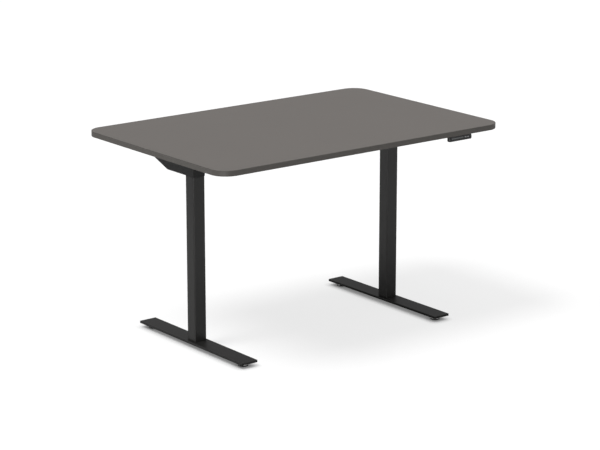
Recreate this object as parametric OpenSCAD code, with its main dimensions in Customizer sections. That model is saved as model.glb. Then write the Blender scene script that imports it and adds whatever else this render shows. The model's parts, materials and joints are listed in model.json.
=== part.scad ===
// Height adjustable standing desk: a laminated top on two telescopic T-legs,
// each lifted by its own spindle and gear motor.
// +Z is up, X runs along the desk, the user sits at -Y.
// The origin is on the floor, under the centre of the top.

/* [Top] */
// Length of the top along X
top_w = 1200; // [1000:10:1600]
// Depth of the top along Y
top_d = 800; // [700:10:900]
// Thickness of the board
top_t = 19; // [18:1:28]
// Radius of the rounded corners in plan
corner_r = 60; // [20:5:120]
// Thickness of the plastic edge band
band_t = 2; // [1:0.5:3]
// Height of the top surface at the lowest setting
desk_low = 710; // [700:5:760]

/* [Legs] */
// Distance between the two leg columns
leg_span = 845; // [700:5:1000]
// Side of the square outer tube
outer_tube = 47; // [46:0.5:60]
// Wall of the outer tube
outer_wall = 2; // [1.5:0.25:2.25]
// Side of the square inner tube
inner_tube = 40; // [39:0.5:40]
// Wall of the inner tube
inner_wall = 1.8; // [1.5:0.1:2.5]
// Travel from the lowest to the highest setting
stroke = 470; // [200:10:470]
// Depth of the arm where it sits over the column
arm_drop = 93; // [90:1:110]
// Steel sheet of the arms
sheet = 2; // [1.5:0.25:2.5]

/* [Feet] */
// Length of each foot along Y
foot_len = 600; // [500:10:700]
// Width of each foot along X
foot_w = 66; // [60:1:90]
// Thickness of the foot plate
foot_t = 8; // [7:0.5:12]
// Gap under the foot plate, taken up by the glides
glide_h = 14; // [12:0.5:18]
// Distance of each glide from the end of the foot
glide_inset = 36; // [25:1:60]
// Radius of a glide
glide_r = 17; // [12:1:20]

/* [Handset] */
// Width of the handset along X
handset_w = 104; // [96:1:140]
// Depth of the handset along Y, with the tail that is screwed to the board
handset_d = 66; // [60:1:90]
// Height of the handset under the top
handset_h = 18; // [16:1:22]
// Centre of the handset along X
handset_x = 409; // [200:1:500]

/* [Hidden] */
$fn = 48;
eps = 0.01;
fit = 0.05;        // radial clearance of a screw, shaft or spindle in its hole
slide = 0.3;       // gap between two faces that slide on each other

// Levels, from the floor up
foot_z = glide_h;
foot_top = foot_z + foot_t;
under = desk_low - top_t;
arm_z = under - arm_drop;
collar_t = 2;
collar_top = arm_z - 0.5;
outer_end = collar_top - collar_t;

// Feet and glides
chamfer = 0.8;
foot_r = 1.5;
foot_screw_off = 13;
foot_screw_r = 4;
foot_head_r = 8;
foot_head_h = 5;
glide_y = foot_len / 2 - glide_inset;
thread_r = 4;
thread_top = foot_top - 1.5;
stud_top = thread_top - 0.3;
sole_t = 2;
disc_low = 4.5;
disc_top = 9;
disc_edge = 1;
pivot_r = 6;
boss_low = disc_top + 0.5;
boss_r = 9;

// Columns
leg_x = leg_span / 2;
outer_in = outer_tube - 2 * outer_wall;
inner_in = inner_tube - 2 * inner_wall;
outer_r = 4.5;
guide_r = 2.5;
inner_r = 1.5;
plug_h = 14;
plug_peg = 10;
plug_top = foot_top + plug_h;
inner_low = plug_top + 4;
guide_low_h = 56;
guide_high_h = 26;

// Lifting spindle and the tube that carries its nut
spindle_r = 7;
neck_r = 6;
push_r = 11;
push_bore = 9;
nut_grip = 20;
nut_flange = 6;
push_end = collar_top - 32;
spindle_low = foot_top + 36;
neck_h = 6;

// Gear case on the head of the inner tube
motor_z = under - 24;
motor_r = 20;
case_low = under - 55;
case_front = -21;
case_back = 33;
motor_end = 126;
motor_cap = 12;
motor_step = 3;
spigot = 14;
wheel_r = 17;
wheel_teeth = 36;
pinion_teeth = 12;
pinion_r = 6;
tooth_h = 1.6;
tooth_w = 1.2;
tooth_in = 9;
pinion_y = 17;
pinion_w = 8;
tip_gap = 0.4;
bearing_r = 14;
bearing_h = 9;
bearing_z = case_low + 2;
wheel_z = bearing_z + bearing_h + 1;
wheel_top = motor_z - pinion_r - tip_gap;
case_bore = 18.4;
shaft_r = 4;
shaft_y = [9, motor_end - 30];
shaft_room = 3;
spindle_room = 1.5;

// Arms, seen from the side
arm_front = -315;
arm_back = 340;
arm_tip = 14;
arm_slope = 0.3733;
deep_back = arm_back - (arm_drop - arm_tip) / arm_slope;
shallow_drop = 51;
shallow_front = arm_front + (shallow_drop - arm_tip) / arm_slope;
arm_w = outer_tube;
arm_in = arm_w / 2 - sheet;
cover_t = 2;
cover_tab_y = [45, 105];
cover_tab = [2, 16, 9];

// Beams between the arms
beam_y = [-175, 200];
beam_w = 25;
beam_h = 40;
beam_wall = 2;
beam_top = under - 10;
beam_z = beam_top - beam_h;
plate_t = 5;
plate_w = 72;
beam_half = leg_x - arm_w / 2;
bolt_r = 3;
bolt_head_r = 5;
bolt_head_h = 3;
bolt_off = 27;
leg_bolt_y = [case_front + 4, case_back - 6];
leg_bolt_z = [case_low + 6, under - 12];
bolt_bite = 9;

// Screws into the board
wood_r = 2.5;
wood_head_r = 4.5;
wood_head_h = 2.7;
wood_bite = 13;
arm_screw_y = [-300, -110, 165, 312];

// Control box
box_w = 260;
box_y = [60, 150];
box_h = 34;
box_r = 5;
box_wall = 2.5;
lid_t = 4;
ear = 20;
box_low = under - lid_t - box_h;
box_mid_y = (box_y[0] + box_y[1]) / 2;
box_screw_y = [75, 135];
vent_n = 9;
vent_pitch = 15;
vent_w = 3;
vent_len = 26;
inlet_y = 84;
inlet_w = 28;
inlet_h = 21;
inlet_z = box_low + 17;
inlet_wall = 2;
pin_size = [12, 2, 4];
pin_places = [[-7, -2], [0, 2], [7, -2]];

// Handset
case_face = -top_d / 2 + 0.7;
case_rear = case_face + handset_d;
handset_low = under - handset_h;
bar_d = 18;
bar_r = 8;
tail_h = 8;
tail_inset = 12;
tail_r = 5;
tail_low = under - tail_h;
handset_screw_x = [handset_x - 20, handset_x + 20];
handset_screw_y = case_rear - 14;
handset_head_z = tail_low + 3.5;
brow_run = 3;
brow_drop = 3.5;
face_lean = 1.2;
face_drop = 11;
belly_run = 4.6;
belly_rise = 3.4;
button_w = 8.6;
button_h = 4.6;
button_deep = 3.9;
button_x = [handset_x + 31, handset_x + 20];
button_z = under - 7.3;
button_travel = 1;
window_w = 54;
window_h = 5;
window_x = handset_x - 16;
window_y = [case_face + 0.1, case_face + 1.7];
handset_plug_x = handset_x - 29;

// Cable routes, each along its own points
cable_r = 3;
thin_cable_r = 2.2;
gland_y = 120;
gland_z = box_low + 20;
motor_line_y = 150;
handset_line_y = -18;
box_entry_x = 32;
cable_z = under - 5;
wire_z = under - 4;
motor_route = [
    [-leg_x, motor_end - 4, motor_z], [-leg_x, 136, motor_z], [-416, 147, motor_z],
    [-404, motor_line_y, motor_z], [-390, motor_line_y, motor_z + 1],
    [-366, motor_line_y, motor_z + 9], [-336, motor_line_y, cable_z - 1],
    [-310, motor_line_y, cable_z], [-260, motor_line_y, cable_z],
    [-210, motor_line_y, cable_z], [-190, 149, cable_z - 1], [-164, 131, gland_z + 5],
    [-144, gland_y, gland_z], [-125, gland_y, gland_z]
];
handset_route = [
    [handset_plug_x, case_rear - 8, wire_z], [handset_plug_x, -300, wire_z],
    [handset_plug_x, -260, wire_z], [handset_plug_x, -200, wire_z],
    [handset_plug_x, -135, wire_z], [379, -108, wire_z], [371, -78, wire_z],
    [353, -50, wire_z], [327, -29, wire_z], [300, -19, wire_z],
    [270, handset_line_y, wire_z], [180, handset_line_y, wire_z],
    [108, handset_line_y, wire_z], [92, -17, wire_z], [66, -5, cable_z],
    [44, 14, cable_z - 4], [34, 38, gland_z + 3], [box_entry_x, 64, gland_z]
];
clip_w = 10;
motor_clip_x = [-300, -220];
handset_clip_y = [-260, -148];
handset_clip_x = [240, 120];

// ---------- shared shapes ----------

// Places its children at a leg: side -1 is the left leg, +1 the right one.
// The children are drawn for the left leg, with the middle of the desk at +X.
module at_leg(side) {
    if (side < 0)
        translate([-leg_x, 0, 0]) children();
    else
        mirror([1, 0, 0]) translate([-leg_x, 0, 0]) children();
}

module rounded_square(w, d, r) {
    square([w - 2 * r, d], center = true);
    square([w, d - 2 * r], center = true);
    for (sx = [-1, 1], sy = [-1, 1])
        translate([sx * (w / 2 - r), sy * (d / 2 - r)]) circle(r);
}

module rounded_block(w, d, h, r) {
    linear_extrude(h) rounded_square(w, d, r);
}

// Square tube standing on z = 0
module square_tube(side, wall, h, r) {
    difference() {
        rounded_block(side, side, h, r);
        translate([0, 0, -1])
            rounded_block(side - 2 * wall, side - 2 * wall, h + 2, max(r - wall, 0.5));
    }
}

module ring(r_out, r_in, h) {
    difference() {
        cylinder(h = h, r = r_out);
        translate([0, 0, -1]) cylinder(h = h + 2, r = r_in);
    }
}

// Extrudes a side view, given as [y, z] points, along X between x0 and x1
module side_profile(points, x0, x1) {
    translate([x0, 0, 0])
        rotate([90, 0, 90])
            linear_extrude(x1 - x0) polygon(points);
}

// Cylinder along X from x0 to x1
module rod_x(x0, x1, y, z, r) {
    translate([x0, y, z]) rotate([0, 90, 0]) cylinder(h = x1 - x0, r = r);
}

// Cylinder along Y from y0 to y1
module rod_y(y0, y1, x, z, r) {
    translate([x, y0, z]) rotate([-90, 0, 0]) cylinder(h = y1 - y0, r = r);
}

// ---------- swept cables ----------

// Point on a smooth curve through p1 and p2, with neighbours p0 and p3
function spline(p0, p1, p2, p3, t) =
    p1 + 0.5 * t * (p2 - p0
    + t * (2 * p0 - 5 * p1 + 4 * p2 - p3
    + t * (3 * p1 - p0 - 3 * p2 + p3)));

function smooth_path(points, steps) = [
    for (i = [0 : len(points) - 2])
        for (s = [0 : steps - 1])
            spline(points[max(i - 1, 0)], points[i], points[i + 1],
                   points[min(i + 2, len(points) - 1)], s / steps),
    points[len(points) - 1]
];

function unit(v) = v / norm(v);

function heading(path, i) =
    unit(path[min(i + 1, len(path) - 1)] - path[max(i - 1, 0)]);

// One ring of points around the path; a cable never stands upright here
function cable_ring(path, i, r, sides) =
    let (t = heading(path, i))
    let (u = unit(cross(t, [0, 0, 1])))
    let (v = cross(t, u))
    [for (k = [0 : sides - 1])
        path[i] + r * (cos(360 * k / sides) * u + sin(360 * k / sides) * v)];

module cable(points, r, steps) {
    sides = 8;
    path = smooth_path(points, steps);
    last = len(path) - 1;
    rings = [for (i = [0 : last]) each cable_ring(path, i, r, sides)];
    skin = [
        for (i = [0 : last - 1])
            for (k = [0 : sides - 1])
                let (a = i * sides + k)
                let (b = i * sides + (k + 1) % sides)
                each [[a, b, b + sides], [a, b + sides, a + sides]]
    ];
    front = [for (k = [1 : sides - 2]) [0, k + 1, k]];
    first = last * sides;
    back = [for (k = [1 : sides - 2]) [first, first + k, first + k + 1]];
    polyhedron(rings, concat(skin, front, back));
}

// ---------- feet and glides ----------

module foot_screw(grow) {
    cylinder(h = foot_head_h, r1 = foot_head_r + grow, r2 = foot_screw_r + grow);
    cylinder(h = foot_t + plug_h - 2, r = foot_screw_r + grow);
}

module foot_screw_set(grow) {
    for (sx = [-1, 1], sy = [-1, 1])
        translate([sx * foot_screw_off, sy * foot_screw_off, foot_z]) foot_screw(grow);
}

// Flat steel plate with a threaded boss under each end
module foot(side) {
    color("#1c1c1c") at_leg(side) difference() {
        union() {
            intersection() {
                translate([0, 0, foot_z]) rounded_block(foot_w, foot_len, foot_t, foot_r);
                side_profile([
                    [-foot_len / 2, foot_z], [foot_len / 2, foot_z],
                    [foot_len / 2, foot_top - chamfer], [foot_len / 2 - chamfer, foot_top],
                    [-foot_len / 2 + chamfer, foot_top], [-foot_len / 2, foot_top - chamfer]
                ], -foot_w, foot_w);
                translate([0, foot_len / 2 + 1, 0])
                    rotate([90, 0, 0])
                        linear_extrude(foot_len + 2) polygon([
                            [-foot_w / 2, foot_z], [foot_w / 2, foot_z],
                            [foot_w / 2, foot_top - chamfer], [foot_w / 2 - chamfer, foot_top],
                            [-foot_w / 2 + chamfer, foot_top], [-foot_w / 2, foot_top - chamfer]
                        ]);
            }
            for (sy = [-1, 1])
                translate([0, sy * glide_y, boss_low])
                    cylinder(h = foot_z - boss_low + 1, r = boss_r);
        }
        translate([0, 0, -eps]) foot_screw_set(fit);
        for (sy = [-1, 1])
            translate([0, sy * glide_y, boss_low - 1])
                cylinder(h = thread_top - boss_low + 1, r = thread_r);
    }
}

module foot_screws() {
    color("#8a8c8e") for (side = [-1, 1])
        at_leg(side) foot_screw_set(0);
}

module glide_at(side, end) {
    at_leg(side) translate([0, end * glide_y, 0]) children();
}

// Soft sole under the steel disc
module glide_sole(side, end) {
    color("#2b2b2b") glide_at(side, end) difference() {
        cylinder(h = disc_low, r = glide_r - 0.5);
        translate([0, 0, sole_t]) cylinder(h = disc_low, r = pivot_r + fit);
    }
}

// Steel disc with its threaded stud
module glide_stud(side, end) {
    color("#c9cacb") glide_at(side, end) {
        translate([0, 0, sole_t + fit]) cylinder(h = disc_low, r = pivot_r);
        translate([0, 0, disc_low])
            cylinder(h = disc_top - disc_low - disc_edge, r = glide_r);
        translate([0, 0, disc_top - disc_edge - eps])
            cylinder(h = disc_edge + eps, r1 = glide_r, r2 = glide_r - disc_edge);
        translate([0, 0, disc_top - disc_edge])
            cylinder(h = stud_top - disc_top + disc_edge, r = thread_r - fit);
    }
}

// ---------- columns ----------

// Solid block that closes the outer tube and centres the push tube
module tube_plug(side) {
    color("#5a5c5e") at_leg(side) difference() {
        union() {
            translate([0, 0, foot_top])
                rounded_block(outer_in - 0.1, outer_in - 0.1, plug_h, guide_r);
            translate([0, 0, plug_top - eps]) cylinder(h = plug_peg, r = push_bore - fit);
        }
        foot_screw_set(fit);
    }
}

module outer_tube_part(side) {
    color("#1f1f1f") at_leg(side)
        translate([0, 0, foot_top])
            square_tube(outer_tube, outer_wall, outer_end - foot_top, outer_r);
}

// Sliding bush in the mouth of the outer tube, with a collar on its rim
module upper_guide(side) {
    bore = inner_tube + 2 * slide;
    color("#161616") at_leg(side) {
        translate([0, 0, outer_end])
            square_tube(outer_tube, (outer_tube - bore) / 2, collar_t, outer_r);
        translate([0, 0, outer_end - guide_high_h])
            square_tube(outer_in - 0.1, (outer_in - 0.1 - bore) / 2, guide_high_h + eps, guide_r);
    }
}

module push_tube(side) {
    color("#9a9c9e") at_leg(side)
        translate([0, 0, plug_top]) ring(push_r, push_bore, push_end - plug_top);
}

module spindle_nut(side) {
    color("#b08d4a") at_leg(side) {
        translate([0, 0, push_end - nut_grip])
            ring(push_bore - fit, spindle_r + fit, nut_grip + eps);
        translate([0, 0, push_end]) ring(push_r, spindle_r + fit, nut_flange);
    }
}

module inner_tube_part(side) {
    color("#242424") at_leg(side)
        translate([0, 0, inner_low])
            square_tube(inner_tube, inner_wall, case_low - inner_low, inner_r + inner_wall);
}

// Sliding bush around the foot of the inner tube
module lower_guide(side) {
    color("#e8e6df") at_leg(side)
        translate([0, 0, inner_low])
            difference() {
                rounded_block(outer_in - 2 * slide, outer_in - 2 * slide, guide_low_h,
                              guide_r - slide);
                translate([0, 0, -1])
                    rounded_block(inner_tube, inner_tube, guide_low_h + 2, inner_r + inner_wall);
            }
}

module spindle(side) {
    color("#a9abad") at_leg(side) {
        translate([0, 0, spindle_low])
            cylinder(h = case_low - neck_h - spindle_low, r = spindle_r);
        translate([0, 0, case_low - neck_h - eps])
            cylinder(h = wheel_top - case_low + neck_h, r = neck_r);
    }
}

// ---------- drive in the head of each leg ----------

module spindle_bearing(side) {
    color("#b9bbbd") at_leg(side)
        translate([0, 0, bearing_z]) ring(bearing_r - fit, neck_r + fit, bearing_h);
}

// Block between the walls of the arm; it holds the gears and caps the inner tube
module gear_case(side) {
    color("#55585b") at_leg(side) difference() {
        union() {
            translate([-arm_in + fit, case_front, case_low])
                cube([2 * (arm_in - fit), case_back - case_front, under - sheet - 1 - case_low]);
            translate([0, 0, case_low - spigot])
                rounded_block(inner_in - 0.2, inner_in - 0.2, spigot + eps, inner_r);
        }
        translate([0, 0, case_low - spigot - 1])
            cylinder(h = spigot + 5, r = spindle_r + spindle_room);
        translate([0, 0, bearing_z]) cylinder(h = bearing_h + eps, r = bearing_r);
        translate([0, 0, bearing_z + bearing_h]) cylinder(h = 60, r = case_bore);
        rod_y(0, case_back + 1, 0, motor_z, shaft_r + shaft_room);
        leg_bolts(fit);
    }
}

// Face gear fixed on the neck of the spindle, with its teeth upwards
module crown_wheel(side) {
    rim = wheel_top - tooth_h;
    color("#e4e1d6") at_leg(side) difference() {
        union() {
            translate([0, 0, wheel_z]) cylinder(h = rim - wheel_z, r = wheel_r);
            for (k = [0 : wheel_teeth - 1])
                rotate(k * 360 / wheel_teeth)
                    translate([tooth_in, -tooth_w / 2, rim - eps])
                        cube([wheel_r - tooth_in - 0.5, tooth_w, tooth_h + eps]);
        }
        translate([0, 0, wheel_z - 1]) cylinder(h = 60, r = neck_r);
    }
}

// Motor output shaft with its pinion over the rim of the crown wheel
module drive_shaft(side) {
    color("#b3b5b7") at_leg(side) {
        rod_y(shaft_y[0], shaft_y[1], 0, motor_z, shaft_r);
        translate([0, pinion_y, motor_z])
            rotate([90, 0, 0])
                linear_extrude(pinion_w) {
                    circle(pinion_r - tooth_h);
                    for (k = [0 : pinion_teeth - 1])
                        rotate(k * 360 / pinion_teeth)
                            translate([0, -0.5]) square([pinion_r - 0.05, 1]);
                }
    }
}

module motor_can(side) {
    color("#303234") at_leg(side) difference() {
        union() {
            rod_y(case_back, motor_end - motor_cap, 0, motor_z, motor_r);
            rod_y(motor_end - motor_cap - eps, motor_end, 0, motor_z, motor_r - motor_step);
        }
        rod_y(case_back - 1, shaft_y[1] + 1, 0, motor_z, shaft_r + fit);
        rod_y(motor_end - 5, motor_end + 1, 0, motor_z, cable_r);
    }
}

// ---------- arms and beams ----------

function arm_outline() = [
    [arm_front, under], [arm_front, under - arm_tip],
    [shallow_front, under - shallow_drop], [-arm_w / 2, under - shallow_drop],
    [-arm_w / 2, arm_z], [deep_back, arm_z],
    [arm_back, under - arm_tip], [arm_back, under]
];

// Screws that hold the gear case to the inner wall of the arm
module leg_bolts(grow) {
    for (y = leg_bolt_y, z = leg_bolt_z)
        rod_x(arm_in - bolt_bite - grow, arm_in + sheet, y, z, bolt_r + grow);
}

module leg_bolt_heads() {
    for (y = leg_bolt_y, z = leg_bolt_z)
        rod_x(arm_in + sheet, arm_in + sheet + bolt_head_h, y, z, bolt_head_r);
}

module beam_bolts(grow) {
    for (y = beam_y, s = [-1, 1])
        rod_x(arm_in, arm_in + sheet + plate_t + 1 + grow,
              y + s * bolt_off, beam_z + beam_h / 2, bolt_r + grow);
}

module beam_bolt_heads() {
    for (y = beam_y, s = [-1, 1])
        rod_x(arm_in - bolt_head_h, arm_in,
              y + s * bolt_off, beam_z + beam_h / 2, bolt_head_r);
}

// Folded sheet steel channel, open downwards
module arm(side) {
    color("#1e1e1e") at_leg(side) difference() {
        union() {
            side_profile(arm_outline(), -arm_w / 2, -arm_in);
            side_profile(arm_outline(), arm_in, arm_w / 2);
            translate([-arm_w / 2, arm_front, under - sheet])
                cube([arm_w, arm_back - arm_front, sheet]);
            translate([-arm_w / 2, arm_front, under - arm_tip]) cube([arm_w, sheet, arm_tip]);
            translate([-arm_w / 2, arm_back - sheet, under - arm_tip])
                cube([arm_w, sheet, arm_tip]);
            translate([-arm_w / 2, -arm_w / 2, arm_z])
                cube([arm_w, sheet, arm_drop - shallow_drop]);
        }
        for (y = arm_screw_y)
            translate([0, y, under - sheet - 1]) cylinder(h = sheet + 2, r = wood_r + fit);
        rod_x(arm_in - 1, arm_w / 2 + 1, motor_line_y, motor_z, cable_r + 2);
        leg_bolts(fit);
        beam_bolts(fit);
    }
}

// Plastic cover that closes the arm under the motor
module motor_cover(side) {
    start = arm_w / 2 + 1;
    color("#181818") at_leg(side) {
        side_profile([
            [start, arm_z], [deep_back, arm_z], [arm_back - 4, under - arm_tip - 1.5],
            [arm_back - 4, under - arm_tip + 0.6], [deep_back - 0.4, arm_z + cover_t],
            [start, arm_z + cover_t]
        ], -arm_in + 0.1, arm_in - 0.1);
        for (sx = [-1, 1], y = cover_tab_y)
            translate([sx * (arm_in - 1.1) - cover_tab[0] / 2, y, arm_z + 1]) cube(cover_tab);
    }
}

module beam(y) {
    color("#202020") {
        difference() {
            translate([-beam_half + plate_t - eps, y - beam_w / 2, beam_z])
                cube([2 * (beam_half - plate_t + eps), beam_w, beam_h]);
            translate([-beam_half, y - beam_w / 2 + beam_wall, beam_z + beam_wall])
                cube([2 * beam_half, beam_w - 2 * beam_wall, beam_h - 2 * beam_wall]);
        }
        for (side = [-1, 1])
            at_leg(side) difference() {
                translate([arm_w / 2, y - plate_w / 2, beam_z - 1])
                    cube([plate_t, plate_w, beam_h + 2]);
                beam_bolts(fit);
            }
    }
}

module frame_screws() {
    color("#8a8c8e") for (side = [-1, 1])
        at_leg(side) {
            leg_bolts(0);
            leg_bolt_heads();
            beam_bolts(0);
            beam_bolt_heads();
        }
}

// ---------- top ----------

// Screw driven upwards into the board, with its head under z = 0
module wood_screw(through, grow) {
    cylinder(h = through + wood_bite + grow, r = wood_r + grow);
}

module wood_screw_head() {
    translate([0, 0, -wood_head_h]) cylinder(h = wood_head_h + eps, r = wood_head_r);
}

module arm_screw_places() {
    for (side = [-1, 1], y = arm_screw_y)
        at_leg(side) translate([0, y, under - sheet]) children();
}

module box_screw_places() {
    for (sx = [-1, 1], y = box_screw_y)
        translate([sx * (box_w / 2 + ear / 2), y, under - lid_t]) children();
}

module handset_screw_places() {
    for (x = handset_screw_x)
        translate([x, handset_screw_y, handset_head_z]) children();
}

module tabletop() {
    color("#767571") difference() {
        translate([0, 0, under])
            rounded_block(top_w - 2 * band_t, top_d - 2 * band_t, top_t, corner_r - band_t);
        arm_screw_places() wood_screw(sheet, fit);
        box_screw_places() wood_screw(lid_t, fit);
        handset_screw_places() wood_screw(under - handset_head_z, fit);
    }
}

module edge_band() {
    color("#6b6a66") translate([0, 0, under]) difference() {
        rounded_block(top_w, top_d, top_t, corner_r);
        translate([0, 0, -1])
            rounded_block(top_w - 2 * band_t, top_d - 2 * band_t, top_t + 2, corner_r - band_t);
    }
}

module top_screws() {
    color("#8a8c8e") arm_screw_places() {
        wood_screw(sheet, 0);
        wood_screw_head();
    }
}

// ---------- control box ----------

module control_box() {
    color("#1a1a1a") difference() {
        translate([0, box_mid_y, box_low])
            rounded_block(box_w, box_y[1] - box_y[0], box_h, box_r);
        translate([0, box_mid_y, box_low + box_wall])
            rounded_block(box_w - 2 * box_wall, box_y[1] - box_y[0] - 2 * box_wall, box_h,
                          box_r - 2);
        rod_x(-box_w / 2 - 1, -box_w / 2 + 5, gland_y, gland_z, cable_r + fit);
        rod_x(box_w / 2 - 5, box_w / 2 + 1, gland_y, gland_z, cable_r + fit);
        rod_y(box_y[0] - 1, box_y[0] + 5, box_entry_x, gland_z, thin_cable_r + 0.4);
        translate([box_w / 2 - 5, inlet_y - inlet_w / 2, inlet_z - inlet_h / 2])
            cube([10, inlet_w, inlet_h]);
        for (k = [0 : vent_n - 1])
            translate([(k - (vent_n - 1) / 2) * vent_pitch, box_mid_y - 22, box_low - 1])
                rounded_block(vent_w, vent_len, box_wall + 2, 1.4);
    }
}

// Mounting plate on top of the box, with an ear at each end
module control_lid() {
    color("#1a1a1a") difference() {
        translate([0, box_mid_y, under - lid_t])
            rounded_block(box_w + 2 * ear, box_y[1] - box_y[0], lid_t, box_r);
        box_screw_places()
            translate([0, 0, -1]) cylinder(h = lid_t + 2, r = wood_r + fit);
    }
}

// Three-pole mains socket set in the right end of the box
module mains_inlet() {
    color("#101010") translate([box_w / 2 - 14, inlet_y, inlet_z]) {
        difference() {
            translate([0, -inlet_w / 2 + 0.1, -inlet_h / 2 + 0.1])
                cube([16, inlet_w - 0.2, inlet_h - 0.2]);
            translate([inlet_wall, -inlet_w / 2 + inlet_wall, -inlet_h / 2 + inlet_wall + 0.5])
                cube([20, inlet_w - 2 * inlet_wall, inlet_h - 2 * inlet_wall - 1]);
        }
        for (p = pin_places)
            translate([1, p[0] - pin_size[1] / 2, p[1] - pin_size[2] / 2]) cube(pin_size);
    }
}

module control_screws() {
    color("#8a8c8e") box_screw_places() {
        wood_screw(lid_t, 0);
        wood_screw_head();
    }
}

// ---------- handset ----------

module button_pocket(x) {
    translate([x - button_w / 2 - slide, case_face - 1, button_z - button_h / 2 - slide])
        cube([button_w + 2 * slide, button_deep + button_travel + 0.4, button_h + 2 * slide]);
}

// Side view of the bar that hangs under the front edge of the top
function bar_outline() = [
    [case_face + brow_run, under], [case_face + face_lean, under - brow_drop],
    [case_face, under - face_drop], [case_face + face_lean, handset_low + belly_rise],
    [case_face + belly_run, handset_low], [case_face + bar_d - belly_rise, handset_low],
    [case_face + bar_d, handset_low + belly_rise], [case_face + bar_d, under]
];

// Slim bar with rounded ends, on a flat tail that is screwed to the board
module handset_case() {
    tail_front = case_face + bar_d / 2;
    color("#141414") difference() {
        union() {
            intersection() {
                translate([handset_x, case_face + bar_d / 2, handset_low])
                    rounded_block(handset_w, bar_d, handset_h, bar_r);
                side_profile(bar_outline(), handset_x - handset_w, handset_x + handset_w);
            }
            translate([handset_x, (tail_front + case_rear) / 2, tail_low])
                rounded_block(handset_w - 2 * tail_inset, case_rear - tail_front, tail_h, tail_r);
        }
        for (x = button_x)
            button_pocket(x);
        translate([window_x - window_w / 2, case_face - 1, button_z - window_h / 2])
            cube([window_w, window_y[1] + fit - case_face + 1, window_h]);
        for (x = handset_screw_x)
            translate([x, handset_screw_y, tail_low - 1]) {
                cylinder(h = handset_head_z - tail_low + 1, r = wood_head_r + 0.2);
                cylinder(h = tail_h + 2, r = wood_r + fit);
            }
        rod_y(case_rear - 9, case_rear + 1, handset_plug_x, wire_z, thin_cable_r + 0.4);
    }
}

module display_window() {
    color("#3b3d3f")
        translate([window_x - window_w / 2 + fit, window_y[0], button_z - window_h / 2 + fit])
            cube([window_w - 2 * fit, window_y[1] - window_y[0], window_h - 2 * fit]);
}

module button(x) {
    color("#8d9092")
        translate([x - button_w / 2, -top_d / 2, button_z - button_h / 2])
            cube([button_w, button_deep, button_h]);
}

module handset_screws() {
    color("#8a8c8e") handset_screw_places() {
        wood_screw(under - handset_head_z, 0);
        wood_screw_head();
    }
}

// ---------- cables ----------

module motor_cable(side) {
    color("#151515")
        if (side < 0)
            cable(motor_route, cable_r, 2);
        else
            mirror([1, 0, 0]) cable(motor_route, cable_r, 2);
}

module handset_cable() {
    color("#151515") cable(handset_route, thin_cable_r, 3);
}

// Clip hanging from the board, bored for a cable along X
module clip(z, r) {
    difference() {
        translate([-clip_w / 2, -r - 3, z - r - 2]) cube([clip_w, 2 * r + 6, under - z + r + 2]);
        rod_x(-clip_w / 2 - 1, clip_w / 2 + 1, 0, z, r + 0.2);
    }
}

module cable_clips() {
    color("#e6e6e2") {
        for (sx = [-1, 1], x = motor_clip_x)
            translate([sx * x, motor_line_y, 0]) clip(cable_z, cable_r);
        for (y = handset_clip_y)
            translate([handset_plug_x, y, 0]) rotate(90) clip(wire_z, thin_cable_r);
        for (x = handset_clip_x)
            translate([x, handset_line_y, 0]) clip(wire_z, thin_cable_r);
    }
}

// ---------- nodes ----------

foot(-1);  // foot_left
foot(1);  // foot_right
foot_screws();
tube_plug(-1);  // tube_plug_left
tube_plug(1);  // tube_plug_right
outer_tube_part(-1);  // outer_tube_left
outer_tube_part(1);  // outer_tube_right
upper_guide(-1);  // upper_guide_left
upper_guide(1);  // upper_guide_right
push_tube(-1);  // push_tube_left
push_tube(1);  // push_tube_right
spindle_nut(-1);  // spindle_nut_left
spindle_nut(1);  // spindle_nut_right
glide_sole(-1, -1);  // glide_sole_front_left
glide_sole(1, -1);  // glide_sole_front_right
glide_sole(-1, 1);  // glide_sole_back_left
glide_sole(1, 1);  // glide_sole_back_right
glide_stud(-1, -1);  // glide_stud_front_left
glide_stud(1, -1);  // glide_stud_front_right
glide_stud(-1, 1);  // glide_stud_back_left
glide_stud(1, 1);  // glide_stud_back_right
tabletop();
edge_band();
arm(-1);  // arm_left
arm(1);  // arm_right
top_screws();
beam(beam_y[0]);  // beam_front
beam(beam_y[1]);  // beam_rear
frame_screws();
inner_tube_part(-1);  // inner_tube_left
inner_tube_part(1);  // inner_tube_right
lower_guide(-1);  // lower_guide_left
lower_guide(1);  // lower_guide_right
gear_case(-1);  // gear_case_left
gear_case(1);  // gear_case_right
spindle_bearing(-1);  // spindle_bearing_left
spindle_bearing(1);  // spindle_bearing_right
motor_can(-1);  // motor_can_left
motor_can(1);  // motor_can_right
motor_cover(-1);  // motor_cover_left
motor_cover(1);  // motor_cover_right
control_box();
control_lid();
mains_inlet();
control_screws();
handset_case();
display_window();
handset_screws();
motor_cable(-1);  // motor_cable_left
motor_cable(1);  // motor_cable_right
handset_cable();
cable_clips();
spindle(-1);  // spindle_left
spindle(1);  // spindle_right
crown_wheel(-1);  // crown_wheel_left
crown_wheel(1);  // crown_wheel_right
drive_shaft(-1);  // drive_shaft_left
drive_shaft(1);  // drive_shaft_right
button(button_x[0]);  // button_up
button(button_x[1]);  // button_down
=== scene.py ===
"""Looks of a height adjustable desk: studio, finishes and finer pieces round the CAD frame.

Every length is in metres, in the frame's own axes: +Z up, +X along the desk, the user at -Y.
"""
import json
import logging
import math
from collections.abc import Callable, Iterable, Sequence
from dataclasses import dataclass, field
from enum import Enum

import bmesh
import bpy
from mathutils import Matrix, Vector


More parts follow.
